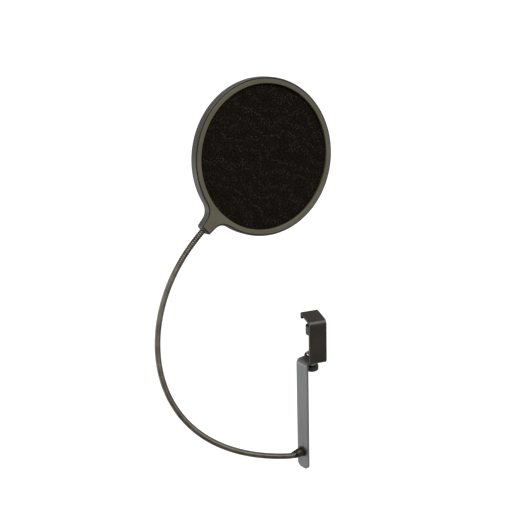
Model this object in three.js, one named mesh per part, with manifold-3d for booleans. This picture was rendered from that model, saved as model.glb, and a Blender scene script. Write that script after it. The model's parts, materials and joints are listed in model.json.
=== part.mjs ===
// Pop filter: a mesh hoop on a gooseneck, carried by a flat arm that hangs from a C-shaped screw clamp.
// Millimetres, +Z up. The origin is on the clamp screw's axis, at the gripping face of the jaw pad.
// The clamp's spine faces -Y, and the jaw opens towards +Y.
import * as THREE from 'three';
import { mergeVertices } from 'three/addons/utils/BufferGeometryUtils.js';
import Module from 'manifold-3d';

const wasm = await Module();
wasm.setup();

const deg = THREE.MathUtils.degToRad;
const GAP = 0.3;                  // clearance between touching pieces

// ---------- driving dimensions ----------
// clamp hook, a bent steel strap
const STRAP = 2.5;                // strap thickness
const HOOK_WIDTH = 18;
const HOOK_SPINE_Y = -20.5;       // outer face of the spine
const HOOK_REACH_Y = 7.5;         // outer face of the lip at the jaw's mouth
const PAD_THICK = 4.8;
const PAD_HALF = 6.4;              // half its width
const HOOK_TOP = PAD_THICK + STRAP;
const HOOK_HEIGHT = 48.2;
const HOOK_BOTTOM = HOOK_TOP - HOOK_HEIGHT;
const HOOK_BEND = 5;              // outer radius of both bends
const LEG_END_R = 7.5;            // the lower leg narrows to a round end about the screw
const LEG_TAPER_Y = -12;          // where it starts to narrow

// clamp screw
const SCREW_R = 3;
const CAP_R = 5.9;
const CAP_TOP = -5.6;              // so the jaw stands 5.6 mm open
const CAP_HEIGHT = 10;
const CAP_ROOF = 2.6;             // rubber above the screw's tip
const KNOB_R = 6.9;
const KNOB_BOTTOM = -56;
const KNOB_HEIGHT = 5.6;
const KNOB_FLOOR = 1.5;           // closed bottom under the screw's end
const KNOB_FLUTES = 24;
const KNOB_FLUTE_DEPTH = 0.5;
const COLLAR_R = 4.6;
const COLLAR_HEIGHT = 2.1;
const BUSH_R = 4.6;               // barrel that the arm's tab turns on
const BUSH_FLANGE_R = 5.8;
const BUSH_FLANGE = 1.2;
const SHIM = 0.6;                 // friction washer between hook and tab
const SHIM_R = 6.8;

// arm, a flat strap bent into a tab at the top
const ARM_SWING = 22;             // degrees from -X towards -Y, about the screw axis
const ARM_WIDTH = 15.6;
const ARM_FACE = 13.8;             // outer face, from the screw axis
const ARM_TOP = HOOK_BOTTOM - GAP - SHIM - GAP;
const ARM_BOTTOM = -166;
const ARM_BEND = 4.5;
const ARM_END_R = 5;              // corner radius at the foot
const NECK_Z = -146.3;            // height of the gooseneck's ferrule

// ferrule and its screw
const FERRULE_LENGTH = 10;        // from the arm's face
const FERRULE_FOOT = 6.5;         // length of its thicker foot
const BASE_WASHER_R = 5.4;
const BASE_WASHER = 1.2;
const BOLT_R = 2.5;
const BOLT_DEPTH = 5.6;           // thread inside the ferrule
const BOLT_HEAD_R = 4.5;
const BOLT_HEAD = 2.6;
const LOCK_WASHER = 1;

// gooseneck
const NECK_R = 3;
const NECK_BORE = 2.3;
const NECK_CORE_R = 1.9;
const NECK_PIECES = 9;
const NECK_SLIT = 1.2;            // slit between neighbouring pieces, where each joint turns
const NECK_SOCKET = 3.5;          // its end inside the ferrule
const NECK_STRAIGHT = 1.7;        // straight length beyond the ferrule
const NECK_KNEE = 3;              // then a short bend, this far either side of its corner
const NECK_TURN = 9.3;            // degrees by which the bend turns it back towards -X
const NECK_LIFT = 15.9;           // and up
const NECK_START_PULL = 185.5;    // pull of the long curve as it leaves that bend
const NECK_END_PULL = 32.4;       // and as it enters the hoop's stem
const NECK_BELLY = new THREE.Vector3(-190.5, -23.8, 46.1);

// hoop
const HOOP_CENTRE = new THREE.Vector3(-32.5, 35.7, 164.9);
const HOOP_YAW = 14.8;            // its front turns from -Y towards +X
const HOOP_PITCH = 11.5;          // and up
const HOOP_R = 77.5;
const HOOP_DEPTH = 10.6;
const HOOP_OPENING_R = 71.25;
const HOOP_WALL = 1.2;
const HOOP_BACK = 2;              // flange behind the mesh
const HOOP_ROUND = 2.5;           // rounding of the rear outer edge
const BEZEL_THICK = 2.4;
const MESH_THICK = 0.5;
const STEM_ANGLE = 216.4;         // direction of the stem in the hoop's plane
const STEM_END = 95.6;            // end of the stem, from the hoop's centre
const STEM_HALF = 6.4;            // half width at its end
const STEM_ROOT_HALF = 7.7;       // and near the ring
const STEM_FLARE = 13;            // degrees either side, where it springs from the ring
const STEM_NECK = 86;             // distance where the flare ends
const STEM_CORNER = 2.6;
const STEM_CHAMFER = 1.2;         // round its back
const NECK_DEPTH = 5.6;           // gooseneck axis behind the hoop's front face
const PLUG_R = 3;
const PLUG_LENGTH = 12;
const GRUB_R = 1.3;

const RING_SIDES = 72;
const ROUND_SIDES = 24;

// ---------- materials ----------
const material = (colour, roughness, metalness) =>
  new THREE.MeshStandardMaterial({ color: colour, roughness, metalness });
const shellPlastic = material(0x23231f, 0.42, 0);
const bezelPlastic = material(0x2a2a25, 0.38, 0);
const meshCloth = material(0x0d0c0b, 0.9, 0);
const innerPlastic = material(0x161616, 0.6, 0);
const neckSteel = material(0x24211d, 0.38, 0.9);
const coreSteel = material(0x55524d, 0.45, 0.9);
const fittingSteel = material(0x2b2923, 0.3, 0.85);
const armPaint = material(0x3b3d3f, 0.4, 0.3);
const hookPaint = material(0x2a2724, 0.38, 0.3);
const rubber = material(0x3a3b38, 0.85, 0);
const zinc = material(0xa39c98, 0.35, 0.9);
const knobPlastic = material(0x1d1c1a, 0.55, 0);

// ---------- solids ----------
function toSolid(geometry) {
  const g = geometry.clone();
  g.deleteAttribute('normal');
  g.deleteAttribute('uv');
  const m = mergeVertices(g, 1e-4);
  return new wasm.Manifold(new wasm.Mesh({
    numProp: 3,
    vertProperties: new Float32Array(m.attributes.position.array),
    triVerts: new Uint32Array(m.index.array),
  }));
}

function toGeometry(solid) {
  const m = solid.getMesh();
  const g = new THREE.BufferGeometry();
  g.setAttribute('position', new THREE.BufferAttribute(new Float32Array(m.vertProperties), 3));
  g.setIndex(new THREE.BufferAttribute(new Uint32Array(m.triVerts), 1));
  g.computeVertexNormals();
  return g;
}

const carve = (body, ...tools) =>
  tools.reduce((solid, tool) => solid.subtract(toSolid(tool)), body);

// a solid of revolution about +Z from [radius, height] points, closed on itself when it has a bore
function turned(profile, sides = ROUND_SIDES) {
  const points = profile.map(([r, z]) => new THREE.Vector2(r, z));
  if (profile.every(([r]) => r > 0)) points.push(points[0].clone());
  return new THREE.LatheGeometry(points, sides).rotateX(Math.PI / 2);
}

// a cylinder about +Z between two heights, given with the lower one first
const rod = (r, low, high, sides = ROUND_SIDES) =>
  turned([[0, low], [r, low], [r, high], [0, high]], sides);

const tube = (bore, r, low, high, sides = ROUND_SIDES) =>
  turned([[bore, low], [r, low], [r, high], [bore, high]], sides);

const slab = (shape, thickness, curveSegments = 6) =>
  new THREE.ExtrudeGeometry(shape, { depth: thickness, bevelEnabled: false, curveSegments });

function roundedRectangle(x0, y0, x1, y1, r) {
  const s = new THREE.Shape();
  s.moveTo(x0 + r, y0);
  s.lineTo(x1 - r, y0);
  s.absarc(x1 - r, y0 + r, r, -Math.PI / 2, 0);
  s.lineTo(x1, y1 - r);
  s.absarc(x1 - r, y1 - r, r, 0, Math.PI / 2);
  s.lineTo(x0 + r, y1);
  s.absarc(x0 + r, y1 - r, r, Math.PI / 2, Math.PI);
  s.lineTo(x0, y0 + r);
  s.absarc(x0 + r, y0 + r, r, Math.PI, 1.5 * Math.PI);
  return s;
}

const object = new THREE.Group();

function add(parent, name, geometry, finish) {
  const mesh = new THREE.Mesh(geometry, finish);
  mesh.name = name;
  parent.add(mesh);
}

// ---------- clamp ----------
// The hook's side view has X for the object's Y and Y for its Z, and is extruded across the strap.
function hookOutline() {
  const inner = HOOK_BEND - STRAP;
  const s = new THREE.Shape();
  const left = HOOK_SPINE_Y;
  const right = HOOK_REACH_Y;
  s.moveTo(right, 0);
  s.lineTo(right, HOOK_TOP - STRAP);
  s.absarc(right - STRAP, HOOK_TOP - STRAP, STRAP, 0, Math.PI / 2);
  s.lineTo(left + HOOK_BEND, HOOK_TOP);
  s.absarc(left + HOOK_BEND, HOOK_TOP - HOOK_BEND, HOOK_BEND, Math.PI / 2, Math.PI);
  s.lineTo(left, HOOK_BOTTOM + HOOK_BEND);
  s.absarc(left + HOOK_BEND, HOOK_BOTTOM + HOOK_BEND, HOOK_BEND, Math.PI, 1.5 * Math.PI);
  s.lineTo(right, HOOK_BOTTOM);
  s.lineTo(right, HOOK_BOTTOM + STRAP);
  s.lineTo(left + HOOK_BEND, HOOK_BOTTOM + STRAP);
  s.absarc(left + HOOK_BEND, HOOK_BOTTOM + HOOK_BEND, inner, 1.5 * Math.PI, Math.PI, true);
  s.lineTo(left + STRAP, HOOK_TOP - HOOK_BEND);
  s.absarc(left + HOOK_BEND, HOOK_TOP - HOOK_BEND, inner, Math.PI, Math.PI / 2, true);
  s.lineTo(right - STRAP, HOOK_TOP - STRAP);
  s.lineTo(right - STRAP, 0);
  return s;
}

// What is cut away round the lower leg's narrowed end, seen from above.
function legCorners() {
  const half = HOOK_WIDTH / 2;
  const s = new THREE.Shape();
  s.moveTo(half + 1, LEG_TAPER_Y);
  s.lineTo(half + 1, LEG_END_R + 1);
  s.lineTo(-half - 1, LEG_END_R + 1);
  s.lineTo(-half - 1, LEG_TAPER_Y);
  s.lineTo(-half, LEG_TAPER_Y);
  s.absarc(0, 0, LEG_END_R, Math.PI, 0, true);
  s.lineTo(half, LEG_TAPER_Y);
  return slab(s, STRAP + 2, 16).translate(0, 0, HOOK_BOTTOM - 1);
}

function hook() {
  const strap = slab(hookOutline(), HOOK_WIDTH);
  strap.rotateY(Math.PI / 2).rotateX(Math.PI / 2);   // X to Y, Y to Z, Z to X
  strap.translate(-HOOK_WIDTH / 2, 0, 0);
  const bore = rod(BUSH_R + GAP, HOOK_BOTTOM - 1, HOOK_BOTTOM + STRAP + 1);
  return toGeometry(carve(toSolid(strap), bore, legCorners()));
}

function jawPad() {
  const back = HOOK_SPINE_Y + HOOK_BEND + GAP;
  const front = HOOK_REACH_Y - STRAP - GAP;
  const corner = 1.2;
  return slab(roundedRectangle(-PAD_HALF, back, PAD_HALF, front, corner), PAD_THICK - GAP, 3);
}

// The bush is riveted through the hook's lower leg, and its lower flange carries the arm's tab.
function bush() {
  const bore = SCREW_R + GAP;
  const top = HOOK_BOTTOM + STRAP + GAP;
  const low = ARM_TOP - STRAP - GAP;
  return turned([
    [bore, low - BUSH_FLANGE], [BUSH_FLANGE_R, low - BUSH_FLANGE], [BUSH_FLANGE_R, low],
    [BUSH_R, low], [BUSH_R, top], [BUSH_FLANGE_R, top], [BUSH_FLANGE_R, top + BUSH_FLANGE],
    [bore, top + BUSH_FLANGE],
  ]);
}

add(object, 'hook', hook(), hookPaint);
add(object, 'jaw_pad', jawPad(), rubber);
add(object, 'swivel_bush', bush(), zinc);
add(object, 'friction_washer',
  tube(BUSH_R + GAP, SHIM_R, HOOK_BOTTOM - GAP - SHIM, HOOK_BOTTOM - GAP), innerPlastic);

// ---------- clamp screw ----------
const KNOB_TOP = KNOB_BOTTOM + KNOB_HEIGHT;

function screwCap() {
  const low = CAP_TOP - CAP_HEIGHT;
  const mouth = SCREW_R + GAP;
  const roof = CAP_TOP - CAP_ROOF;
  const edge = 0.8;
  return turned([
    [0, roof], [mouth, roof], [mouth, low], [CAP_R - edge, low], [CAP_R, low + edge],
    [CAP_R, CAP_TOP - edge], [CAP_R - edge, CAP_TOP], [0, CAP_TOP],
  ]);
}

// Each flute is a groove with a flat ridge beside it.
function flutedCircle(radius, depth, flutes) {
  const points = [];
  for (let i = 0; i < flutes * 3; i += 1) {
    const r = i % 3 === 0 ? radius - depth : radius;
    const angle = (i / (flutes * 3)) * 2 * Math.PI;
    points.push(new THREE.Vector2(r * Math.cos(angle), r * Math.sin(angle)));
  }
  return new THREE.Shape(points);
}

function knob() {
  const bevel = 0.9;
  const grip = slab(flutedCircle(KNOB_R, KNOB_FLUTE_DEPTH, KNOB_FLUTES), KNOB_HEIGHT);
  const rounded = turned([
    [0, KNOB_BOTTOM], [KNOB_R - bevel, KNOB_BOTTOM], [KNOB_R, KNOB_BOTTOM + bevel],
    [KNOB_R, KNOB_TOP - bevel], [KNOB_R - bevel, KNOB_TOP], [0, KNOB_TOP],
  ], 48);
  const bore = rod(SCREW_R + GAP, KNOB_BOTTOM + KNOB_FLOOR, KNOB_TOP + 1);
  const body = toSolid(grip.translate(0, 0, KNOB_BOTTOM)).intersect(toSolid(rounded));
  return toGeometry(carve(body, bore));
}

add(object, 'screw_cap', screwCap(), rubber);
add(object, 'clamp_screw',
  rod(SCREW_R, KNOB_BOTTOM + KNOB_FLOOR + GAP, CAP_TOP - CAP_ROOF - GAP), zinc);
add(object, 'lock_collar',
  tube(SCREW_R + GAP, COLLAR_R, KNOB_TOP + GAP, KNOB_TOP + GAP + COLLAR_HEIGHT), zinc);
add(object, 'knob', knob(), knobPlastic);

// ---------- arm ----------
// The arm group's +X points from the screw axis out through the arm's face.
const arm = new THREE.Group();
arm.rotation.z = Math.PI + deg(ARM_SWING);
object.add(arm);

function armOutline() {
  const inner = ARM_BEND - STRAP;
  const tabEnd = -ARM_WIDTH / 2 - 1;                  // cut back to a round end below
  const s = new THREE.Shape();
  s.moveTo(tabEnd, ARM_TOP);
  s.lineTo(tabEnd, ARM_TOP - STRAP);
  s.lineTo(ARM_FACE - ARM_BEND, ARM_TOP - STRAP);
  s.absarc(ARM_FACE - ARM_BEND, ARM_TOP - ARM_BEND, inner, Math.PI / 2, 0, true);
  s.lineTo(ARM_FACE - STRAP, ARM_BOTTOM);
  s.lineTo(ARM_FACE, ARM_BOTTOM);
  s.lineTo(ARM_FACE, ARM_TOP - ARM_BEND);
  s.absarc(ARM_FACE - ARM_BEND, ARM_TOP - ARM_BEND, ARM_BEND, 0, Math.PI / 2);
  return s;
}

function armStrap() {
  const strap = slab(armOutline(), ARM_WIDTH).rotateX(Math.PI / 2).translate(0, ARM_WIDTH / 2, 0);
  const half = ARM_WIDTH / 2;
  const plan = new THREE.Shape();                     // the tab's end is round about the screw
  plan.absarc(0, 0, half, Math.PI / 2, 1.5 * Math.PI);
  plan.lineTo(ARM_FACE + 1, -half);
  plan.lineTo(ARM_FACE + 1, half);
  const fromAbove = slab(plan, -ARM_BOTTOM, 12).translate(0, 0, ARM_BOTTOM);
  const front = roundedRectangle(-half, ARM_BOTTOM, half, 0, ARM_END_R);
  const fromFront = slab(front, ARM_FACE + ARM_WIDTH).rotateX(Math.PI / 2).rotateZ(Math.PI / 2);
  const rounded = toSolid(strap)
    .intersect(toSolid(fromAbove))
    .intersect(toSolid(fromFront.translate(-ARM_WIDTH, 0, 0)));
  const boltHole = rod(BOLT_R + GAP, 0, ARM_FACE + 2).rotateY(Math.PI / 2).translate(0, 0, NECK_Z);
  return toGeometry(carve(rounded, rod(BUSH_R + GAP, ARM_TOP - STRAP - 1, ARM_TOP + 1), boltHole));
}

// pieces along the ferrule's axis, drawn about +Z and turned to lie along the arm group's +X
const alongNeck = (geometry) =>
  geometry.rotateY(Math.PI / 2).translate(ARM_FACE, 0, NECK_Z);

const WASHER_OUT = GAP + BASE_WASHER;
const FERRULE_START = WASHER_OUT + GAP;
const SHEATH_START = FERRULE_LENGTH - NECK_SOCKET;

function ferrule() {
  const bolt = BOLT_R + GAP;
  const socket = NECK_R + GAP;
  const foot = 4.6;
  const lip = 4.1;
  const edge = 0.5;
  return turned([
    [bolt, FERRULE_START], [foot - edge, FERRULE_START], [foot, FERRULE_START + edge],
    [foot, FERRULE_FOOT], [lip, FERRULE_FOOT + edge], [lip, FERRULE_LENGTH - edge],
    [lip - edge, FERRULE_LENGTH], [socket, FERRULE_LENGTH],
    [socket, SHEATH_START - GAP], [bolt, SHEATH_START - GAP],
  ]);
}

// a pan-head bolt from behind the arm
function ferruleBolt() {
  const seat = -STRAP - GAP - LOCK_WASHER - GAP;
  const crown = BOLT_HEAD_R - 1.4;
  const shoulder = BOLT_HEAD_R - GAP;
  return turned([
    [0, seat - BOLT_HEAD], [crown, seat - BOLT_HEAD], [shoulder, seat - BOLT_HEAD / 2],
    [BOLT_HEAD_R, seat], [BOLT_R, seat], [BOLT_R, BOLT_DEPTH], [0, BOLT_DEPTH],
  ]);
}

const CRIMP_R = 3.75;
const CRIMP_START = FERRULE_LENGTH + 0.6;
const CRIMP_WIDTH = 1.8;

add(arm, 'arm', armStrap(), armPaint);
add(arm, 'base_washer', alongNeck(tube(BOLT_R + GAP, BASE_WASHER_R, GAP, WASHER_OUT)), fittingSteel);
add(arm, 'ferrule', alongNeck(ferrule()), fittingSteel);
add(arm, 'ferrule_bolt', alongNeck(ferruleBolt()), fittingSteel);
add(arm, 'lock_washer',
  alongNeck(tube(BOLT_R + GAP, BOLT_HEAD_R - 0.2, -STRAP - GAP - LOCK_WASHER, -STRAP - GAP)), zinc);
add(arm, 'crimp_ring',
  alongNeck(tube(NECK_R + GAP, CRIMP_R, CRIMP_START, CRIMP_START + CRIMP_WIDTH)), fittingSteel);

// ---------- hoop ----------
// The hoop group's +Z is its front normal, +X is level, and z = 0 is the front face.
const hoop = new THREE.Group();
hoop.position.copy(HOOP_CENTRE);
hoop.rotation.set(Math.PI / 2 - deg(HOOP_PITCH), 0, deg(HOOP_YAW), 'ZXY');
object.add(hoop);
hoop.updateMatrixWorld();

// outline of the stem along +X, drawn inside the outer wall by the inset
function stemOutline(inset) {
  const ring = HOOP_R - inset;
  const flare = deg(STEM_FLARE);
  const footX = ring * Math.cos(flare);
  const footY = ring * Math.sin(flare) - inset * 0.6;
  const root = STEM_ROOT_HALF - inset;
  const end = STEM_END - inset;
  const half = STEM_HALF - inset;
  const corner = Math.max(STEM_CORNER - inset, 0.8);
  const start = HOOP_OPENING_R + 1;
  const s = new THREE.Shape();
  s.moveTo(start, -footY);
  s.lineTo(footX, -footY);
  s.quadraticCurveTo(ring + 1.2, -root - 0.3, STEM_NECK, -root + 0.5);
  s.lineTo(end - corner, -half);
  s.quadraticCurveTo(end, -half, end, -half + corner);
  s.lineTo(end, half - corner);
  s.quadraticCurveTo(end, half, end - corner, half);
  s.lineTo(STEM_NECK, root - 0.5);
  s.quadraticCurveTo(ring + 1.2, root + 0.3, footX, footY);
  s.lineTo(start, footY);
  return s;
}

const turnToStem = (geometry) => geometry.rotateZ(deg(STEM_ANGLE));
const WALL_R = HOOP_R - HOOP_WALL;
const BACK_FACE = -HOOP_DEPTH + HOOP_BACK;
const TRAY = -BEZEL_THICK - GAP;  // floor under the bezel's stem plate
const GRUB_AT = STEM_END - 7;

function roundedDisc() {
  const profile = [[0, -HOOP_DEPTH]];
  const steps = 4;
  for (let i = 0; i <= steps; i += 1) {
    const angle = (i / steps) * (Math.PI / 2);
    profile.push([
      HOOP_R - HOOP_ROUND * (1 - Math.sin(angle)),
      -HOOP_DEPTH + HOOP_ROUND * (1 - Math.cos(angle)),
    ]);
  }
  profile.push([HOOP_R, 0], [0, 0]);
  return turned(profile, RING_SIDES);
}

function stemBody() {
  const low = -HOOP_DEPTH;
  const back = slab(stemOutline(STEM_CHAMFER), STEM_CHAMFER + 0.01).translate(0, 0, low);
  const body = slab(stemOutline(0), HOOP_DEPTH - STEM_CHAMFER).translate(0, 0, low + STEM_CHAMFER);
  return toSolid(turnToStem(body)).add(toSolid(turnToStem(back)));
}

function rearShell() {
  const blank = toSolid(roundedDisc()).add(stemBody());
  const socket = rod(PLUG_R + GAP, STEM_END - PLUG_LENGTH - GAP, STEM_END + 1);
  const grubHole = rod(GRUB_R + GAP, -HOOP_DEPTH - 1, -NECK_DEPTH).translate(GRUB_AT, 0, 0);
  return toGeometry(carve(
    blank,
    rod(HOOP_OPENING_R, -HOOP_DEPTH - 1, 1, RING_SIDES),
    rod(WALL_R, BACK_FACE, 1, RING_SIDES),
    turnToStem(slab(stemOutline(HOOP_WALL), 5).translate(0, 0, TRAY)),
    turnToStem(socket.rotateY(Math.PI / 2).translate(0, 0, -NECK_DEPTH)),
    turnToStem(grubHole),
  ));
}

function frontBezel() {
  const outer = WALL_R - GAP;
  const ring = toSolid(turned([
    [HOOP_OPENING_R, -BEZEL_THICK], [outer, -BEZEL_THICK], [outer, 0], [HOOP_OPENING_R, 0],
  ], RING_SIDES));
  const plate = slab(stemOutline(HOOP_WALL + GAP), BEZEL_THICK).translate(0, 0, -BEZEL_THICK);
  return toGeometry(ring.add(toSolid(turnToStem(plate))));
}

const MESH_R = WALL_R - 1;
const MESH_SIDES = 60;
const FRONT_MESH = -BEZEL_THICK - GAP - MESH_THICK;
const REAR_MESH = BACK_FACE + GAP;
const SPACER_LOW = REAR_MESH + MESH_THICK + GAP;
const SPACER_HIGH = FRONT_MESH - GAP;

add(hoop, 'rear_shell', rearShell(), shellPlastic);
add(hoop, 'front_bezel', frontBezel(), bezelPlastic);
add(hoop, 'mesh_front', rod(MESH_R, FRONT_MESH, FRONT_MESH + MESH_THICK, MESH_SIDES), meshCloth);
add(hoop, 'mesh_rear', rod(MESH_R, REAR_MESH, REAR_MESH + MESH_THICK, MESH_SIDES), meshCloth);
add(hoop, 'spacer_ring',
  tube(HOOP_OPENING_R + 0.6, MESH_R, SPACER_LOW, SPACER_HIGH, MESH_SIDES), innerPlastic);

// The plug is crimped on the gooseneck's end, and the grub screw behind it holds it in the stem.
const onStem = (geometry) =>
  turnToStem(geometry.rotateY(Math.PI / 2).translate(0, 0, -NECK_DEPTH));
add(hoop, 'neck_plug', onStem(rod(PLUG_R, STEM_END - PLUG_LENGTH, STEM_END - GAP)), fittingSteel);
add(hoop, 'grub_screw', turnToStem(
  rod(GRUB_R, -HOOP_DEPTH + 0.4, -NECK_DEPTH - PLUG_R - GAP, 12).translate(GRUB_AT, 0, 0)), zinc);

// ---------- gooseneck ----------
// It leaves the ferrule straight, bends up at once, and then sweeps round in one long curve that
// meets the stem in line with it.
function neckCurve() {
  const out = new THREE.Vector3(1, 0, 0).applyEuler(arm.rotation);
  const start = out.clone().multiplyScalar(ARM_FACE + SHEATH_START).setZ(NECK_Z);
  const bendStart = out.clone().multiplyScalar(ARM_FACE + FERRULE_LENGTH + NECK_STRAIGHT);
  bendStart.setZ(NECK_Z);
  const away = new THREE.Vector3(Math.cos(deg(NECK_LIFT)), 0, Math.sin(deg(NECK_LIFT)));
  away.applyAxisAngle(new THREE.Vector3(0, 0, 1), arm.rotation.z - deg(NECK_TURN));
  const corner = bendStart.clone().addScaledVector(out, NECK_KNEE);
  const bendEnd = corner.clone().addScaledVector(away, NECK_KNEE);
  const stem = new THREE.Vector3(Math.cos(deg(STEM_ANGLE)), Math.sin(deg(STEM_ANGLE)), 0);
  const end = stem.clone().multiplyScalar(STEM_END).setZ(-NECK_DEPTH).applyMatrix4(hoop.matrixWorld);
  const stemWay = stem.transformDirection(hoop.matrixWorld);
  const points = [
    bendEnd,
    bendEnd.clone().addScaledVector(away, NECK_START_PULL),
    NECK_BELLY,
    end.clone().addScaledVector(stemWay, NECK_END_PULL),
    end,
  ];
  const weights = [1, 4, 6, 4, 1];
  const bow = new THREE.Curve();
  bow.getPoint = (t, target = new THREE.Vector3()) => {
    target.set(0, 0, 0);
    points.forEach((p, i) => target.addScaledVector(p, weights[i] * (1 - t) ** (4 - i) * t ** i));
    return target;
  };
  const path = new THREE.CurvePath();
  path.add(new THREE.LineCurve3(start, bendStart));
  path.add(new THREE.QuadraticBezierCurve3(bendStart, corner, bendEnd));
  path.add(bow);
  return path;
}

function stretch(curve, from, to) {
  const length = curve.getLength();
  const part = new THREE.Curve();
  part.getPoint = (t, target) => curve.getPointAt((from + (to - from) * t) / length, target);
  return part;
}

function section(r, bore) {
  const s = new THREE.Shape();
  s.absarc(0, 0, r, 0, 2 * Math.PI);
  if (bore) {
    const hole = new THREE.Path();
    hole.absarc(0, 0, bore, 0, 2 * Math.PI);
    s.holes.push(hole);
  }
  return s;
}

const curve = neckCurve();
const pitch = curve.getLength() / NECK_PIECES;
for (let i = 0; i < NECK_PIECES; i += 1) {
  const from = i * pitch + (i ? NECK_SLIT / 2 : 0);
  const last = i === NECK_PIECES - 1;
  const to = (i + 1) * pitch - (last ? GAP : NECK_SLIT / 2);
  const steps = i ? 4 : 8;        // the first piece holds the short bend
  const path = { steps, bevelEnabled: false, extrudePath: stretch(curve, from, to) };
  add(object, `neck_sheath_${i}`,
    new THREE.ExtrudeGeometry(section(NECK_R, NECK_BORE), { ...path, curveSegments: 6 }), neckSteel);
  add(object, `neck_core_${i}`,
    new THREE.ExtrudeGeometry(section(NECK_CORE_R), { ...path, curveSegments: 4 }), coreSteel);
}

export default object;
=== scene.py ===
# Pop filter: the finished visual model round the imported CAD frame. Metres, +Z up.
# The clamp's spine faces -Y, and the hoop's front looks towards -Y and a little up.
import json
import math
import random

import bmesh
import bpy
from mathutils import Matrix, Vector


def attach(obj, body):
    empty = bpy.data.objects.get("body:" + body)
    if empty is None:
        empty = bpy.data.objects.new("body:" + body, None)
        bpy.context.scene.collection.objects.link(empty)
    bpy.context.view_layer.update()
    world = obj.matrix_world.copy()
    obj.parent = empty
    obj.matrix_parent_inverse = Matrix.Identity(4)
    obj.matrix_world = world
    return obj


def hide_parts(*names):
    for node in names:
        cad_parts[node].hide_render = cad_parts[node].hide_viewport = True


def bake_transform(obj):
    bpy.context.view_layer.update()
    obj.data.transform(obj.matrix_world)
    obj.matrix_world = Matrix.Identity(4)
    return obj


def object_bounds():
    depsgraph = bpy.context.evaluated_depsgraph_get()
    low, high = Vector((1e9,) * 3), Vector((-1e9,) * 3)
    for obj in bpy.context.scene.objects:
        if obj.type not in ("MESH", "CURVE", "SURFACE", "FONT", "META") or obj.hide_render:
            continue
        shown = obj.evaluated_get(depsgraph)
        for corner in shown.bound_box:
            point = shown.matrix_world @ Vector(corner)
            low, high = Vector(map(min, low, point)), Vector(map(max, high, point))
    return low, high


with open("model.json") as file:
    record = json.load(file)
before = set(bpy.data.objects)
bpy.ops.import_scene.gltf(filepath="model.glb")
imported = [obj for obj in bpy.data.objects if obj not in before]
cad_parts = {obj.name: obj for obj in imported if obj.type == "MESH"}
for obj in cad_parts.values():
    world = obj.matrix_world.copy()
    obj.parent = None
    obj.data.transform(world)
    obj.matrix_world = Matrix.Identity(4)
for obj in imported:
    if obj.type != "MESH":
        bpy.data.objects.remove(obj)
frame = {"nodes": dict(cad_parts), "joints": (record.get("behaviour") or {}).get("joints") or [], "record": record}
cad_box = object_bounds()
MM = 0.001

# ---------- driving dimensions, as in the CAD model ----------
HOOP_R = 77.5 * MM
HOOP_DEPTH = 10.6 * MM
HOOP_OPENING_R = 71.25 * MM
HOOP_WALL = 1.2 * MM
HOOP_BACK = 2 * MM                # flange behind the mesh
HOOP_ROUND = 2.5 * MM             # rounding of the shell's rear edge
BEZEL_THICK = 2.4 * MM
GAP = 0.3 * MM                    # kept between touching solids
STEM_END = 95.6 * MM
STEM_HALF = 6.4 * MM
STEM_ROOT_HALF = 7.7 * MM
STEM_NECK = 86 * MM
STEM_FLARE = math.radians(13)
STEM_CORNER = 2.6 * MM
NECK_DEPTH = 5.6 * MM
MESH_R = 75.3 * MM

NECK_R = 3 * MM
NECK_SHEATH_START = 6.5 * MM      # from the arm's face
NECK_STRAIGHT_END = 11.7 * MM     # from the arm's face
NECK_KNEE = 3 * MM
NECK_TURN = math.radians(9.3)
NECK_LIFT = math.radians(15.9)
NECK_START_PULL = 185.5 * MM
NECK_END_PULL = 32.4 * MM
NECK_BELLY = Vector((-190.5, -23.8, 46.1)) * MM
NECK_PIECES = 9
BOLT_R = 2.5 * MM
KNOB_FLUTES = 24
KNOB_FLUTE_DEPTH = 0.5 * MM
THREAD_PITCH = 1 * MM

# ---------- detail that the CAD model leaves out ----------
LIP_DROP = 0.9 * MM               # shell's lip behind the bezel's face
BEZEL_GROOVE = 0.55 * MM          # dark groove between the lip and the bezel
CLOTH_THICK = 0.3 * MM
CLOTH_RIPPLE = 0.05 * MM
WINDING = 2.2 * MM                # pitch of the wound sheath
WINDING_DEPTH = 0.7 * MM
THREAD_DEPTH = 0.5 * MM
THREAD_RUNOUT = 0.4 * MM          # chamfer where the thread begins and ends
STRAP_EDGE = 0.5 * MM             # rounding of the bent straps and the pad
SHARP_ANGLE = 35                  # degrees; a flatter edge is shaded smooth

UP = Vector((0, 0, 1))
ORIGIN = Vector((0, 0, 0))


# ---------- camera ----------
def make_camera():
    azimuth, elevation, roll = math.radians(-17.2), math.radians(24), math.radians(-1.5)
    distance = 1.5
    target = Vector((-50.3, 5.2, 71.1)) * MM
    lens = 106.6
    sensor_width = 36
    back = Vector((
        math.sin(azimuth) * math.cos(elevation),
        -math.cos(azimuth) * math.cos(elevation),
        math.sin(elevation),
    ))
    camera = bpy.data.objects.new("camera", bpy.data.cameras.new("camera"))
    bpy.context.collection.objects.link(camera)
    camera.data.sensor_width = sensor_width
    camera.data.lens = lens
    aimed = (-back).to_track_quat("-Z", "Y").to_matrix().to_4x4()
    place = Matrix.Translation(target + back * distance)
    camera.matrix_world = place @ aimed @ Matrix.Rotation(roll, 4, "Z")
    bpy.context.scene.camera = camera


# ---------- meshes ----------
def add_mesh(name, points, faces, sharp=SHARP_ANGLE):
    mesh = bpy.data.meshes.new(name)
    mesh.from_pydata([tuple(p) for p in points], [], faces)
    b = bmesh.new()
    b.from_mesh(mesh)
    bmesh.ops.recalc_face_normals(b, faces=b.faces)
    b.to_mesh(mesh)
    b.free()
    mesh.shade_smooth()
    mesh.set_sharp_from_angle(angle=math.radians(sharp))
    piece = bpy.data.objects.new(name, mesh)
    bpy.context.collection.objects.link(piece)
    return piece


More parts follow.
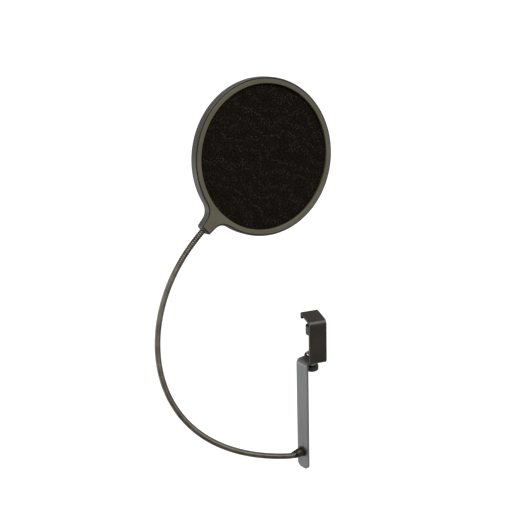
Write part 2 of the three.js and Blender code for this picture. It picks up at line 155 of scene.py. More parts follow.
def skin(name, loops, joined=False, sharp=SHARP_ANGLE):
    """A closed surface over loops of equal count. Joined, the last loop meets the first. Otherwise each end
    gets a cap."""
    n = len(loops[0])
    faces = []
    for a in range(len(loops) if joined else len(loops) - 1):
        b = (a + 1) % len(loops)
        for i in range(n):
            j = (i + 1) % n
            faces.append((a * n + i, a * n + j, b * n + j, b * n + i))
    if not joined:
        last = (len(loops) - 1) * n
        faces += [tuple(reversed(range(n))), tuple(range(last, last + n))]
    return add_mesh(name, [p for loop in loops for p in loop], faces, sharp)


def rounded(profile, radius, closed=True, steps=4):
    """The profile with each corner replaced by a small curve."""
    points = [Vector(p) for p in profile]
    out = []
    for i, corner in enumerate(points):
        if not closed and i in (0, len(points) - 1):
            out.append(corner)
            continue
        before = points[i - 1] - corner
        after = points[(i + 1) % len(points)] - corner
        reach = min(radius, before.length * 0.45, after.length * 0.45)
        start = corner + before.normalized() * reach
        end = corner + after.normalized() * reach
        for k in range(steps + 1):
            t = k / steps
            out.append(start * (1 - t) ** 2 + corner * 2 * t * (1 - t) + end * t * t)
    return out


def axis_frame(origin, axis):
    """A place whose Z points along the axis."""
    return Matrix.Translation(origin) @ axis.to_track_quat("Z", "Y").to_matrix().to_4x4()


def plain(_angle):
    """No relief."""
    return 0.0


def circle(place, radius, height, sides, relief=plain):
    """A loop about the place's Z axis; relief is taken off its radius at each angle."""
    loop = []
    for i in range(sides):
        a = 2 * math.pi * i / sides
        r = radius - relief(a)
        loop.append(place @ Vector((r * math.cos(a), r * math.sin(a), height)))
    return loop


def hexagon(place, radius, height, sides):
    """A hexagon loop whose corners lie at the radius."""
    sector = math.pi / 3
    loop = []
    for i in range(sides):
        a = 2 * math.pi * i / sides
        r = radius * math.cos(sector / 2) / math.cos(a % sector - sector / 2)
        loop.append(place @ Vector((r * math.cos(a), r * math.sin(a), height)))
    return loop


def turned(name, place, profile, edge=0.25 * MM, bored=True, sides=72, socket=None):
    """A turned piece from its (radius, height) profile. A bored one is a ring. A hexagon socket is given by
    its radius and by the height of its floor from the last face, which is negative."""
    outline = rounded(profile, edge, closed=bored)
    loops = [circle(place, p.x, p.y, sides) for p in outline]
    if socket:
        radius, floor = socket
        face = outline[-1].y
        loops.append(hexagon(place, radius, face, sides))
        loops.append(hexagon(place, radius, face + floor, sides))
    return skin(name, loops, joined=bored)


def node_points(node):
    """Each corner of a CAD node once."""
    corners = {tuple(round(c, 6) for c in v.co) for v in frame["nodes"][node].data.vertices}
    return [Vector(c) for c in sorted(corners)]


def mean(node):
    """The mean of a CAD node's corners."""
    points = node_points(node)
    return sum(points, Vector()) / len(points)


def along(node, origin, axis):
    """Lowest and highest reach of a CAD node along an axis, and its greatest distance from that axis."""
    offsets = [p - origin for p in node_points(node)]
    heights = [p.dot(axis) for p in offsets]
    return min(heights), max(heights), max((p - axis * h).length for p, h in zip(offsets, heights))


def apply_modifiers(piece):
    """Keeps the piece's modified shape as its mesh."""
    evaluated = piece.evaluated_get(bpy.context.evaluated_depsgraph_get())
    shape = bpy.data.meshes.new_from_object(evaluated)
    piece.modifiers.clear()
    piece.data = shape
    shape.shade_smooth()
    shape.set_sharp_from_angle(angle=math.radians(SHARP_ANGLE))


def polished(name, node, edge):
    """The CAD solid's own shape with its edges rounded."""
    mesh = frame["nodes"][node].data.copy()
    mesh.materials.clear()
    b = bmesh.new()
    b.from_mesh(mesh)
    bmesh.ops.remove_doubles(b, verts=b.verts, dist=0.002 * MM)
    bmesh.ops.dissolve_limit(b, angle_limit=math.radians(1), verts=b.verts, edges=b.edges)
    b.to_mesh(mesh)
    b.free()
    piece = bpy.data.objects.new(name, mesh)
    bpy.context.collection.objects.link(piece)
    bevel = piece.modifiers.new("edges", "BEVEL")
    bevel.width = edge
    bevel.segments = 3
    bevel.limit_method = "ANGLE"
    bevel.angle_limit = math.radians(30)
    apply_modifiers(piece)
    piece.modifiers.new("normals", "WEIGHTED_NORMAL").keep_sharp = True
    return piece


def fit(piece, body, slot, *nodes):
    """Hands a piece its material, slot and body, in place of the CAD nodes it stands for."""
    piece.data.materials.clear()
    piece.data.materials.append(finishes[slot])
    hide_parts(*nodes)
    if body:
        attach(piece, body)


# ---------- materials ----------
def add_noise(nodes, links, source, scale, detail, roughness=0.55):
    noise = nodes.new("ShaderNodeTexNoise")
    noise.inputs["Scale"].default_value = scale
    noise.inputs["Detail"].default_value = detail
    noise.inputs["Roughness"].default_value = roughness
    links.new(source, noise.inputs["Vector"])
    return noise.outputs["Fac"]


def map_range(nodes, links, value, low, high, to_low, to_high):
    node = nodes.new("ShaderNodeMapRange")
    for name, number in zip(("From Min", "From Max", "To Min", "To Max"), (low, high, to_low, to_high)):
        node.inputs[name].default_value = number
    links.new(value, node.inputs["Value"])
    return node.outputs["Result"]


def mix_colour(nodes, links, factor, a, b):
    """a and b are colours, or sockets that carry one."""
    node = nodes.new("ShaderNodeMix")
    node.data_type = "RGBA"
    links.new(factor, node.inputs["Factor"])
    for socket, value in ((node.inputs[6], a), (node.inputs[7], b)):
        if isinstance(value, tuple):
            socket.default_value = (*value, 1)
        else:
            links.new(value, socket)
    return node.outputs[2]


def product(nodes, links, a, b):
    node = nodes.new("ShaderNodeMath")
    node.operation = "MULTIPLY"
    links.new(a, node.inputs[0])
    links.new(b, node.inputs[1])
    return node.outputs[0]


def start_material(name, metallic, **sockets):
    """A new material with values set on its shader's own sockets."""
    material = bpy.data.materials.new(name)
    material.use_nodes = True
    nodes, links = material.node_tree.nodes, material.node_tree.links
    shader = nodes["Principled BSDF"]
    shader.inputs["Metallic"].default_value = metallic
    for socket, value in sockets.items():
        shader.inputs[socket.replace("_", " ")].default_value = value
    return material, nodes, links, shader


def add_bump(nodes, links, shader, height, depth):
    bump = nodes.new("ShaderNodeBump")
    bump.inputs["Distance"].default_value = depth
    links.new(height, bump.inputs["Height"])
    links.new(bump.outputs["Normal"], shader.inputs["Normal"])


def make_finish(name, dark, light, smooth, rough, metallic=0.0, mottle=90.0, grain=2600.0,
                depth=0.03 * MM, stretch=(1, 1, 1), edge_wear_and_shade=None, painted_groove_shade=None, **sockets):
    """A surface whose colour and roughness drift between two values, with a fine grain and, where they are
    given, an edge colour along its edges, which is wear where it is lighter and painted shade where it is
    darker, and a painted shade in its grooves."""
    material, nodes, links, shader = start_material(name, metallic, **sockets)
    place = nodes.new("ShaderNodeTexCoord")
    scale = nodes.new("ShaderNodeMapping")
    scale.inputs["Scale"].default_value = stretch
    links.new(place.outputs["Object"], scale.inputs["Vector"])
    source = scale.outputs["Vector"]
    broad = add_noise(nodes, links, source, mottle, 5)
    fine = add_noise(nodes, links, source, grain, 3)
    colour = mix_colour(nodes, links, map_range(nodes, links, broad, 0.3, 0.7, 0, 1), dark, light)
    geometry = nodes.new("ShaderNodeNewGeometry")
    # Painted shade: the groove colour darkens the grooves, where pointiness is low.
    if painted_groove_shade:
        groove = map_range(nodes, links, geometry.outputs["Pointiness"], 0.49, 0.42, 0, 1)
        colour = mix_colour(nodes, links, groove, colour, painted_groove_shade)
    # Edge colour: wear where it is lighter than the surface, painted shade where it is darker.
    if edge_wear_and_shade:
        edge = map_range(nodes, links, geometry.outputs["Pointiness"], 0.53, 0.62, 0, 0.6)
        patches = map_range(nodes, links, broad, 0.4, 0.6, 0.2, 1)
        colour = mix_colour(nodes, links, product(nodes, links, edge, patches), colour, edge_wear_and_shade)
    links.new(colour, shader.inputs["Base Color"])
    uneven = nodes.new("ShaderNodeMath")
    uneven.operation = "ADD"
    links.new(map_range(nodes, links, broad, 0.3, 0.7, smooth, rough), uneven.inputs[0])
    links.new(map_range(nodes, links, fine, 0.3, 0.7, -0.03, 0.03), uneven.inputs[1])
    links.new(uneven.outputs[0], shader.inputs["Roughness"])
    add_bump(nodes, links, shader, fine, depth)
    return material


def weave_height(nodes, links, uv, angle, pitch):
    """Plain weave: how far a point stands up on the nearest thread, from 0 in a hole to 1 on its crown."""
    turn = nodes.new("ShaderNodeMapping")
    turn.inputs["Rotation"].default_value = (0, 0, angle)
    turn.inputs["Scale"].default_value = (math.pi / pitch, math.pi / pitch, 1)
    links.new(uv, turn.inputs["Vector"])
    split = nodes.new("ShaderNodeSeparateXYZ")
    links.new(turn.outputs["Vector"], split.inputs["Vector"])
    threads = []
    for axis in ("X", "Y"):
        wave = nodes.new("ShaderNodeMath")
        wave.operation = "SINE"
        links.new(split.outputs[axis], wave.inputs[0])
        size = nodes.new("ShaderNodeMath")
        size.operation = "ABSOLUTE"
        links.new(wave.outputs[0], size.inputs[0])
        threads.append(map_range(nodes, links, size.outputs[0], 0.45, 0.95, 0, 1))
    top = nodes.new("ShaderNodeMath")
    top.operation = "MAXIMUM"
    links.new(threads[0], top.inputs[0])
    links.new(threads[1], top.inputs[1])
    return top.outputs[0]


def make_mesh_cloth(name):
    """Black nylon mesh. A second weave, turned a little, is painted faintly into the holes of the first as a
    shaded copy, the holes are painted near-black shade, and the threads carry painted highlights in grainy bands."""
    material, nodes, links, shader = start_material(name, 0.0, Roughness=0.85, Specular_IOR_Level=0.05)
    uv = nodes.new("ShaderNodeUVMap").outputs["UV"]
    near = weave_height(nodes, links, uv, math.radians(4), 0.9 * MM)
    far = weave_height(nodes, links, uv, math.radians(11), 0.95 * MM)
    # painted shade: the holes are near-black, and the second weave in them takes the darker shaded_thread colour
    hole = (0.0008, 0.0005, 0.0003)
    shaded_thread = (0.0015, 0.0008, 0.0005)
    thread = (0.0045, 0.0028, 0.0016)
    lit_thread = (0.052, 0.044, 0.033)
    behind = mix_colour(nodes, links, far, hole, shaded_thread)
    # painted highlights: within wavy bands the threads turn to the lit_thread colour, in fine specks
    bands = nodes.new("ShaderNodeTexWave")
    bands.wave_profile = "SIN"
    bands.inputs["Scale"].default_value = 22
    bands.inputs["Distortion"].default_value = 14
    bands.inputs["Detail"].default_value = 2
    bands.inputs["Detail Scale"].default_value = 1.3
    turn = nodes.new("ShaderNodeMapping")
    turn.inputs["Rotation"].default_value = (0, 0, math.radians(-20))
    links.new(uv, turn.inputs["Vector"])
    links.new(turn.outputs["Vector"], bands.inputs["Vector"])
    in_step = map_range(nodes, links, bands.outputs["Fac"], 0.3, 1, 0.4, 1)
    specks = add_noise(nodes, links, uv, scale=700, detail=1, roughness=0.5)
    grain = map_range(nodes, links, specks, 0.5, 0.75, 0, 1)
    ahead = mix_colour(nodes, links, product(nodes, links, in_step, grain), thread, lit_thread)
    links.new(mix_colour(nodes, links, near, behind, ahead), shader.inputs["Base Color"])
    add_bump(nodes, links, shader, near, 0.12 * MM)
    return material


def make_finishes():
    return {
        "bezel_plastic": make_finish(
            "bezel_plastic", (0.076, 0.07, 0.045), (0.094, 0.088, 0.059), 0.4, 0.5,
            mottle=40, grain=3400, depth=0.02 * MM, Specular_IOR_Level=0.35),
        "shell_plastic": make_finish(
            "shell_plastic", (0.045, 0.045, 0.038), (0.06, 0.06, 0.052), 0.32, 0.44,
            mottle=60, grain=2800, depth=0.03 * MM, Specular_IOR_Level=0.45),
        "inner_plastic": make_finish(
            "inner_plastic", (0.012, 0.012, 0.012), (0.02, 0.02, 0.019), 0.55, 0.7),
        "hook_paint": make_finish(
            "hook_paint", (0.016, 0.013, 0.009), (0.024, 0.02, 0.014), 0.36, 0.48,
            mottle=70, grain=1900, depth=0.05 * MM, edge_wear_and_shade=(0.1, 0.095, 0.075), Specular_IOR_Level=0.35),
        # the arm's grey, lighter than the hook's, is in part painted light: it stands in for the light the arm
        # catches from the left
        "arm_paint": make_finish(
            "arm_paint", (0.102, 0.105, 0.106), (0.13, 0.133, 0.135), 0.4, 0.52,
            # the edge colour here is darker than the paint: painted shade along the arm's rounded edges
            mottle=55, grain=2100, depth=0.04 * MM, stretch=(1, 1, 0.35), edge_wear_and_shade=(0.05, 0.05, 0.045),
            Specular_IOR_Level=0.4),
        "rubber": make_finish(
            "rubber", (0.045, 0.045, 0.042), (0.066, 0.066, 0.062), 0.7, 0.85, mottle=150, grain=1500,
            depth=0.08 * MM),
        "zinc": make_finish(
            "zinc", (0.34, 0.31, 0.29), (0.52, 0.48, 0.46), 0.28, 0.42, metallic=1.0, mottle=200,
            depth=0.02 * MM, edge_wear_and_shade=(0.7, 0.66, 0.64)),
        "fitting_steel": make_finish(
            "fitting_steel", (0.035, 0.03, 0.02), (0.06, 0.053, 0.036), 0.24, 0.38, metallic=0.9,
            mottle=160, depth=0.015 * MM, edge_wear_and_shade=(0.16, 0.15, 0.11)),
        # the neck's groove colour is painted shade in the winding's grooves
        "neck_steel": make_finish(
            "neck_steel", (0.075, 0.065, 0.05), (0.12, 0.108, 0.085), 0.28, 0.42, metallic=0.85,
            mottle=130, depth=0.02 * MM, edge_wear_and_shade=(0.62, 0.57, 0.48), painted_groove_shade=(0.001, 0.0008, 0.0006)),
        "core_steel": make_finish(
            "core_steel", (0.16, 0.15, 0.14), (0.24, 0.23, 0.21), 0.35, 0.5, metallic=0.9),
        "knob_plastic": make_finish(
            "knob_plastic", (0.038, 0.037, 0.034), (0.058, 0.056, 0.052), 0.45, 0.6, mottle=180,
            grain=1700, depth=0.06 * MM),
        "mesh_cloth": make_mesh_cloth("mesh_cloth"),
    }


# ---------- hoop ----------
def hoop_frame():
    """X points along the stem, Z out of the front, and z = 0 is the bezel's front face."""
    centre = mean("mesh_front")
    normal = (centre - mean("mesh_rear")).normalized()
    front = along("front_bezel", centre, normal)[1]
    stem = mean("neck_plug") - centre
    stem = (stem - normal * stem.dot(normal)).normalized()
    side = normal.cross(stem)
    matrix = Matrix((stem, side, normal)).transposed().to_4x4()
    return Matrix.Translation(centre + normal * front) @ matrix


def curve_points(start, corner, end, count):
    """A quadratic curve without its last point."""
    steps = [k / count for k in range(count)]
    return [start * (1 - t) ** 2 + corner * 2 * t * (1 - t) + end * t * t for t in steps]


def hoop_outline():
    """Half the outline of ring and stem, from the stem's end to the far side, and its mirror image."""
    arc_steps = 130
    corner_steps = 8
    root = Vector((HOOP_R * math.cos(STEM_FLARE), HOOP_R * math.sin(STEM_FLARE)))
    neck = Vector((STEM_NECK, STEM_ROOT_HALF - 0.5 * MM))
    pull = Vector((HOOP_R + 1.2 * MM, STEM_ROOT_HALF + 0.3 * MM))
    shoulder = Vector((STEM_END - STEM_CORNER, STEM_HALF))
    tip = Vector((STEM_END, STEM_HALF - STEM_CORNER))
    half = [Vector((STEM_END, tip.y * k / 4)) for k in range(4)]
    corner = Vector((shoulder.x, tip.y))
    for k in range(corner_steps):
        a = math.pi / 2 * k / corner_steps
        half.append(corner + Vector((math.cos(a), math.sin(a))) * STEM_CORNER)
    half += [shoulder.lerp(neck, k / 5) for k in range(5)]
    half += curve_points(neck, pull, root, 14)
    for k in range(arc_steps + 1):
        a = STEM_FLARE + (math.pi - STEM_FLARE) * k / arc_steps
        half.append(Vector((HOOP_R * math.cos(a), HOOP_R * math.sin(a))))
    return half + [Vector((p.x, -p.y)) for p in reversed(half[1:-1])]


def inset_loop(place, outline, inset, height):
    """The outline moved inwards by the inset."""
    loop = []
    for i, p in enumerate(outline):
        way = (outline[(i + 1) % len(outline)] - outline[i - 1]).normalized()
        q = p - Vector((way.y, -way.x)) * inset
        loop.append(place @ Vector((q.x, q.y, height)))
    return loop


def ring_loop(place, outline, radius, height):
    """A circle with one point for each of the outline's, at the same angle."""
    return [place @ Vector((*(p.normalized() * radius), height)) for p in outline]


def make_rear_shell(place, outline):
    tray = -BEZEL_THICK - GAP
    seat = -HOOP_DEPTH + HOOP_BACK
    pocket_r = MESH_R + 0.6 * MM
    lip_side = -LIP_DROP - 2 * MM
    back_edge_r = HOOP_OPENING_R + 1.5 * MM
    round_steps = 6
    loops = []
    for k in range(round_steps + 1):
        a = math.pi / 2 * k / round_steps
        inset = HOOP_ROUND * (1 - math.sin(a))
        loops.append(inset_loop(place, outline, inset, -HOOP_DEPTH + HOOP_ROUND * (1 - math.cos(a))))
    lip = rounded([(0, lip_side), (0, -LIP_DROP), (HOOP_WALL, -LIP_DROP), (HOOP_WALL, tray)],
                  0.5 * MM, closed=False)
    loops += [inset_loop(place, outline, p.x, p.y) for p in lip]
    cavity = rounded([
        (pocket_r, tray), (pocket_r, seat), (HOOP_OPENING_R, seat),
        (HOOP_OPENING_R, -HOOP_DEPTH), (back_edge_r, -HOOP_DEPTH)], 0.4 * MM, closed=False)
    loops += [ring_loop(place, outline, p.x, p.y) for p in cavity]
    shell = skin("rear_shell_moulding", loops, joined=True)
    cut(shell, neck_bore(place))
    cut(shell, grub_hole(place))
    return shell


def neck_bore(place):
    """Where the gooseneck goes into the stem's end."""
    depth = 12 * MM
    past_end = 1 * MM
    axis = place @ Matrix.Translation((0, 0, -NECK_DEPTH)) @ Matrix.Rotation(math.pi / 2, 4, "Y")
    ends = (STEM_END - depth, STEM_END + past_end)
    return skin("cutter", [circle(axis, NECK_R + GAP, end, 48) for end in ends])


def grub_hole(place):
    """From the stem's rear face to the neck's axis."""
    radius = 1.6 * MM
    axis = place @ Matrix.Translation((STEM_END - 7 * MM, 0, 0))
    ends = (-HOOP_DEPTH - 1 * MM, -NECK_DEPTH)
    return skin("cutter", [circle(axis, radius, end, 32) for end in ends])


def cut(piece, cutter):
    """Cuts the cutter out of the piece, and deletes it."""
    boolean = piece.modifiers.new("cut", "BOOLEAN")
    boolean.operation = "DIFFERENCE"
    boolean.solver = "EXACT"
    boolean.object = cutter
    apply_modifiers(piece)
    bpy.data.objects.remove(cutter)


def make_bezel(place, outline):
    outer = HOOP_WALL + BEZEL_GROOVE
    face_starts = outer + 0.75 * MM
    face_ends = HOOP_OPENING_R + 2 * MM
    edge = 0.6 * MM
    rim = rounded([(outer, -BEZEL_THICK), (outer, 0), (face_starts, 0)], edge, closed=False)
    loops = [inset_loop(place, outline, p.x, p.y) for p in rim]
    bore = rounded([(face_ends, 0), (HOOP_OPENING_R, 0), (HOOP_OPENING_R, -BEZEL_THICK)],
                   edge, closed=False)
    loops += [ring_loop(place, outline, p.x, p.y) for p in bore]
    return skin("front_bezel_moulding", loops, joined=True)


def make_mesh_layer(name, place, height, seed):
    """A stretched round of mesh, a little uneven in its tension."""
    full = 2 * math.pi
    pick = random.Random(seed)
    waves = [(pick.uniform(20, 60), pick.uniform(0, full), pick.uniform(0, full)) for _ in range(5)]
    rings, sides = 30, 120
    flat = [Vector((0, 0))]
    for k in range(1, rings + 1):
        r = MESH_R * k / rings
        flat += [Vector((r * math.cos(full * i / sides), r * math.sin(full * i / sides)))
                 for i in range(sides)]
    faces = [(0, 1 + i, 1 + (i + 1) % sides) for i in range(sides)]
    for k in range(1, rings):
        low = 1 + (k - 1) * sides
        high = 1 + k * sides
        faces += [(low + i, high + i, high + (i + 1) % sides, low + (i + 1) % sides)
                  for i in range(sides)]
    points = []
    for p in flat:
        slack = max(0.0, 1 - (p.length / HOOP_OPENING_R) ** 4)
        ripple = sum(math.sin(n * (p.x * math.cos(a) + p.y * math.sin(a)) + b) for n, a, b in waves)
        points.append(place @ Vector((p.x, p.y, height + CLOTH_RIPPLE * slack * ripple)))
    layer = add_mesh(name, points, faces, 80)
    uv = layer.data.uv_layers.new(name="weave")
    for loop in layer.data.loops:
        uv.data[loop.index].uv = flat[loop.vertex_index]
    solid = layer.modifiers.new("thread", "SOLIDIFY")
    solid.thickness = CLOTH_THICK
    solid.offset = 0
    return layer


def make_hoop():
    place = hoop_frame()
    outline = hoop_outline()
    fit(make_rear_shell(place, outline), "hoop", "shell_plastic", "rear_shell")
    fit(make_bezel(place, outline), "hoop", "bezel_plastic", "front_bezel")
    for name, seed in (("mesh_front", 3), ("mesh_rear", 8)):
        height = (place.inverted() @ mean(name)).z
        layer = make_mesh_layer(name + "_layer", place, height, seed)
        fit(layer, "hoop", "mesh_cloth", name)
    normal = place.to_3x3() @ UP
    centre = mean("grub_screw")
    low, high, radius = along("grub_screw", centre, -normal)
    grub = turned("grub_screw_socket", axis_frame(centre, -normal),
                  [(0.3 * MM, low), (radius, low), (radius, high), (0.9 * MM, high)],
                  bored=False, sides=36, socket=(0.75 * MM, -1 * MM))
    fit(grub, "hoop", "zinc", "grub_screw")


def bezier(points, t):
    degree = len(points) - 1
    return sum((p * (math.comb(degree, i) * (1 - t) ** (degree - i) * t ** i)
                for i, p in enumerate(points)), Vector())


def neck_line(face, out, hoop):
    """Points close together along the gooseneck's centre line, from the ferrule to inside the stem."""
    start = face + out * NECK_SHEATH_START
    bend_start = face + out * NECK_STRAIGHT_END
    flat = Matrix.Rotation(-NECK_TURN, 3, "Z") @ out
    away = flat * math.cos(NECK_LIFT) + UP * math.sin(NECK_LIFT)
    corner = bend_start + out * NECK_KNEE
    bend_end = corner + away * NECK_KNEE
    end = hoop @ Vector((STEM_END, 0, -NECK_DEPTH))
    stem = hoop.to_3x3() @ Vector((1, 0, 0))
    bow = [bend_end, bend_end + away * NECK_START_PULL, NECK_BELLY, end + stem * NECK_END_PULL, end]
    points = [start.lerp(bend_start, k / 10) for k in range(10)]
    points += [bezier([bend_start, corner, bend_end], k / 12) for k in range(12)]
    points += [bezier(bow, k / 1200) for k in range(1201)]
    return points + [end - stem * k * MM for k in range(1, 4)]


class Path:
    """A polyline that is read by its length, with a frame that doesn't twist."""

    def __init__(self, points):
        self.points = points
        self.lengths = [0.0]
        self.frames = []
        for a, b in zip(points, points[1:]):
            self.lengths.append(self.lengths[-1] + (b - a).length)
        side = (points[1] - points[0]).cross(UP).normalized()
        for i in range(len(points)):
            way = (points[min(i + 1, len(points) - 1)] - points[max(i - 1, 0)]).normalized()
            side = (side - way * side.dot(way)).normalized()
            self.frames.append((way, side))
        self.total = self.lengths[-1]

    def at(self, length):
        """Point, direction and side there."""
        low, high = 0, len(self.lengths) - 1
        while high - low > 1:
            half = (low + high) // 2
            low, high = (half, high) if self.lengths[half] <= length else (low, half)
        t = (length - self.lengths[low]) / (self.lengths[high] - self.lengths[low])
        way = self.frames[low][0].lerp(self.frames[high][0], t).normalized()
        side = self.frames[low][1].lerp(self.frames[high][1], t)
        side = (side - way * side.dot(way)).normalized()
        return self.points[low].lerp(self.points[high], t), way, side


def winding_relief(phase):
    """Depth below the wire's crown, at a phase from 0 to 1 across it."""
    across = 2 * (phase % 1) - 1
    return WINDING_DEPTH * abs(across) ** 3


def make_neck_piece(name, path, low, high):
    """A stretch of the wound sheath, between two lengths along the path."""
    sides = 24
    loops_per_turn = 7
    steps = round((high - low) / WINDING * loops_per_turn)
    loops = []
    for k in range(steps + 1):
        length = low + (high - low) * k / steps
        centre, way, side = path.at(length)
        other = way.cross(side)
        loop = []
        for i in range(sides):
            a = 2 * math.pi * i / sides
            r = NECK_R - winding_relief(length / WINDING + i / sides)
            loop.append(centre + (side * math.cos(a) + other * math.sin(a)) * r)
        loops.append(loop)
    return skin(name, loops, sharp=75)


def make_neck(face, out, hoop):
    path = Path(neck_line(face, out, hoop))
    last_inside = 3 * MM
    pitch = (path.total - last_inside) / NECK_PIECES
    names = sorted((j["name"] for j in frame["joints"] if j["name"].startswith("neck_")),
                   key=lambda name: int(name.split("_")[-1]))
    for i, joint in enumerate(names):
        final = i == len(names) - 1
        low = (i + 0.5) * pitch if i else 0.0
        high = path.total if final else (i + 1.5) * pitch
        piece = make_neck_piece(f"gooseneck_{i}", path, low, high)
        nodes = [f"neck_sheath_{i}", f"neck_core_{i}"]
        if final:
            nodes += [f"neck_sheath_{i + 1}", f"neck_core_{i + 1}"]
        fit(piece, None, "neck_steel", *nodes)
        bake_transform(piece)


# ---------- arm and ferrule ----------
def split_washer(name, place, low, high, inner, outer):
    """A spring washer: one turn with a slit, its ends a little apart in height."""
    steps = 64
    slit = math.radians(9)
    rise = (high - low) * 0.25
    edge = 0.12 * MM
    loops = []
    for k in range(steps + 1):
        t = k / steps
        a = slit + (2 * math.pi - slit) * t
        bottom = low + rise * t
        top = high - rise * (1 - t)
        section = rounded([(inner, bottom), (outer, bottom), (outer, top), (inner, top)], edge, steps=2)
        loops.append([place @ Vector((p.x * math.cos(a), p.x * math.sin(a), p.y)) for p in section])
    return skin(name, loops)


def make_arm(face, out):
    """The arm, and on its lower end the gooseneck's fittings, from the ferrule to the bolt behind."""
    fit(polished("arm_strap", "arm", STRAP_EDGE), "arm", "arm_paint", "arm")
    place = axis_frame(face, out)
    bore = BOLT_R + GAP
    socket = NECK_R + GAP

    low, high, radius = along("base_washer", face, out)
    washer = turned("base_washer_ring", place, [(bore, low), (radius, low), (radius, high), (bore, high)])
    fit(washer, "arm", "hook_paint", "base_washer")

    low, high, radius = along("ferrule", face, out)
    foot = 6.5 * MM
    slope = 0.6 * MM
    mouth_r = 4.1 * MM
    step = NECK_SHEATH_START - GAP
    barrel = turned("ferrule_barrel", place, [
        (bore, low), (radius, low), (radius, foot), (mouth_r, foot + slope),
        (mouth_r, high), (socket, high), (socket, step), (bore, step)], edge=0.5 * MM)
    fit(barrel, "arm", "fitting_steel", "ferrule")

    low, high, radius = along("crimp_ring", face, out)
    bead = (high - low) / 2
    shoulder_r = radius - 0.2 * MM
    crimp = turned("crimp_ring_bead", place, [
        (socket, low), (shoulder_r, low), (radius, low + bead), (shoulder_r, high), (socket, high)],
        edge=0.6 * MM)
    fit(crimp, "arm", "fitting_steel", "crimp_ring")

    low, high, radius = along("lock_washer", face, out)
    fit(split_washer("spring_washer", place, low, high, bore, radius), "arm", "zinc", "lock_washer")

    low, high, radius = along("ferrule_bolt", face, -out)
    seat = -along("lock_washer", face, out)[0] + GAP
    tip_r = 0.4 * MM
    rim = seat + 1.1 * MM
    bolt = turned("button_bolt", axis_frame(face, -out), [
        (tip_r, low), (BOLT_R, low), (BOLT_R, seat), (radius, seat), (radius * 0.93, rim),
        (radius * 0.72, high), (1.9 * MM, high)], edge=0.6 * MM, bored=False, socket=(1.6 * MM, -1.5 * MM))
    fit(bolt, "arm", "fitting_steel", "ferrule_bolt")


# ---------- clamp ----------
def make_thread(name, low, high, radius):
    """A right-hand thread that runs out at both ends."""
    sides, per_turn = 36, 8
    steps = round((high - low) / THREAD_PITCH * per_turn)
    loops = []
    for k in range(steps + 1):
        z = low + (high - low) * k / steps
        lead = min(1.0, (z - low) / THREAD_PITCH, (high - z) / THREAD_PITCH)

        def relief(angle, z=z, lead=lead):
            phase = (z / THREAD_PITCH - angle / (2 * math.pi)) % 1
            groove = min(1.0, max(0.0, abs(2 * phase - 1) * 1.4 - 0.2))
            return THREAD_DEPTH * groove * lead + THREAD_RUNOUT * (1 - lead)

        loops.append(circle(Matrix(), radius, z, sides, relief))
    return skin(name, loops, sharp=60)


def make_knob(low, high, radius):
    """Fluted round the side, with a dished bottom."""
    sides = KNOB_FLUTES * 8
    dish = 0.5 * MM
    bevel = 1 * MM
    bevel_steps = 6

    def flutes(angle):
        return KNOB_FLUTE_DEPTH * (0.5 + 0.5 * math.cos(KNOB_FLUTES * angle)) ** 1.5

    loops = [circle(Matrix(), r, low + dish, sides) for r in (1.2 * MM, 4.3 * MM)]
    loops += [circle(Matrix(), r, low, sides) for r in (4.7 * MM, 5.4 * MM)]
    for k in range(1, bevel_steps + 1):
        a = math.pi / 2 * k / bevel_steps
        r = radius - bevel * (1 - math.sin(a))
        loops.append(circle(Matrix(), r, low + bevel * (1 - math.cos(a)), sides, flutes))
    for k in range(bevel_steps + 1):
        a = math.pi / 2 * k / bevel_steps
        r = radius - bevel * (1 - math.cos(a))
        loops.append(circle(Matrix(), r, high - bevel * (1 - math.sin(a)), sides, flutes))
    loops += [circle(Matrix(), r, high, sides) for r in (5.2 * MM, 3.4 * MM)]
    return skin("knob_grip", loops, sharp=50)


def make_cap(low, high, radius):
    """The rubber cap with fine ribs round its side, hollow below where the screw goes in."""
    sides = 120
    rib_count = 20
    rib_depth = 0.14 * MM
    rib_margin = 0.8 * MM
    bore_r = 3.3 * MM
    bore_end = high - 2.6 * MM

    def ribs(angle):
        return rib_depth * (0.5 + 0.5 * math.cos(rib_count * angle))

    profile = rounded([(bore_r, low), (radius, low), (radius, high), (1 * MM, high)],
                      1 * MM, closed=False, steps=6)
    loops = [circle(Matrix(), bore_r, bore_end, sides)]
    for p in profile:
        ribbed = low + rib_margin < p.y < high - rib_margin
        loops.append(circle(Matrix(), p.x, p.y, sides, ribs if ribbed else plain))
    return skin("screw_cap_rubber", loops, sharp=50)


def ring(name, node, bore, edge):
    """A ring in a CAD node's place, about the clamp's axis."""
    low, high, radius = along(node, ORIGIN, UP)
    return turned(name, Matrix(), [(bore, low), (radius, low), (radius, high), (bore, high)], edge=edge)


def make_clamp():
    fit(polished("hook_strap", "hook", STRAP_EDGE), "clamp", "hook_paint", "hook")
    fit(polished("jaw_pad_rubber", "jaw_pad", STRAP_EDGE), "clamp", "rubber", "jaw_pad")
    fit(polished("swivel_bush_rivet", "swivel_bush", 0.25 * MM), "clamp", "zinc", "swivel_bush")
    washer = ring("friction_washer_ring", "friction_washer", bore=4.9 * MM, edge=0.15 * MM)
    fit(washer, "clamp", "inner_plastic", "friction_washer")

    fit(make_cap(*along("screw_cap", ORIGIN, UP)), "cap", "rubber", "screw_cap")
    screw = make_thread("clamp_screw_thread", *along("clamp_screw", ORIGIN, UP))
    fit(screw, "screw", "zinc", "clamp_screw")
    collar = ring("lock_collar_ring", "lock_collar", bore=3.3 * MM, edge=0.4 * MM)
    fit(collar, "screw", "zinc", "lock_collar")
    fit(make_knob(*along("knob", ORIGIN, UP)), "screw", "knob_plastic", "knob")


def dress_kept_nodes():
    """Gives the CAD nodes their finishes. The spacer ring and the neck's plug stay as they are in CAD."""
    for part in frame["record"]["subparts"]:
        node = frame["nodes"][part["node"]]
        node.data.materials.clear()
        node.data.materials.append(finishes[part["material_slot"]])


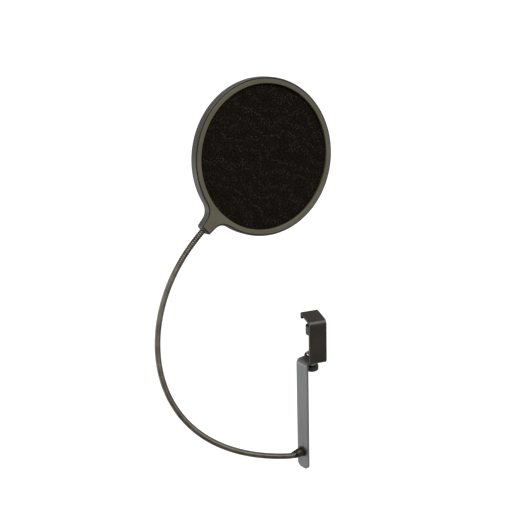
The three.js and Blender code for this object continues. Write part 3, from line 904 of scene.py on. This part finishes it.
# ---------- studio ----------
def add_light(name, place, aim, size, power):
    data = bpy.data.lights.new(name, "AREA")
    data.shape = "DISK"
    data.size = size
    data.energy = power
    light = bpy.data.objects.new(name, data)
    bpy.context.collection.objects.link(light)
    light.location = place
    light.rotation_euler = (aim - Vector(place)).to_track_quat("-Z", "Y").to_euler()


def make_floor(height):
    """White to the camera, and darker in the light that it throws back on the object."""
    half = 9
    corners = [(-half, -half, height), (half, -half, height), (half, half, height), (-half, half, height)]
    floor = add_mesh("floor", corners, [(0, 1, 2, 3)])
    paint, nodes, links, shader = start_material("floor", 0.0, Roughness=0.9)
    seen = nodes.new("ShaderNodeLightPath").outputs["Is Camera Ray"]
    colour = mix_colour(nodes, links, seen, (0.3, 0.3, 0.3), (0.95, 0.95, 0.95))
    links.new(colour, shader.inputs["Base Color"])
    floor.data.materials.append(paint)


def make_studio():
    low, high = cad_box
    floor_drop = 0.3
    sky_strength = 0.32
    make_floor(low.z - floor_drop)
    world = bpy.data.worlds.new("studio")
    world.use_nodes = True
    sky = world.node_tree.nodes["Background"]
    sky.inputs["Color"].default_value = (1, 1, 1, 1)
    sky.inputs["Strength"].default_value = sky_strength
    bpy.context.scene.world = world
    sun = bpy.data.lights.new("key", "SUN")
    sun.energy = 3.5
    sun.angle = math.radians(40)
    key = bpy.data.objects.new("key", sun)
    bpy.context.collection.objects.link(key)
    sun_way = Vector((-0.22, 0.5, -0.82))
    key.rotation_euler = sun_way.to_track_quat("-Z", "Y").to_euler()
    add_light("side", place=(-1.2, 0.2, -0.2), aim=(low + high) / 2, size=0.5, power=12)
    bpy.context.scene.view_settings.view_transform = "Standard"


make_camera()
finishes = make_finishes()
make_hoop()
washer_middle = mean("base_washer")
arm_out = Vector((*washer_middle.xy, 0)).normalized()
arm_face = washer_middle + arm_out * (along("base_washer", washer_middle, arm_out)[0] - GAP)
make_neck(arm_face, arm_out, hoop_frame())
make_arm(arm_face, arm_out)
make_clamp()
dress_kept_nodes()
make_studio()
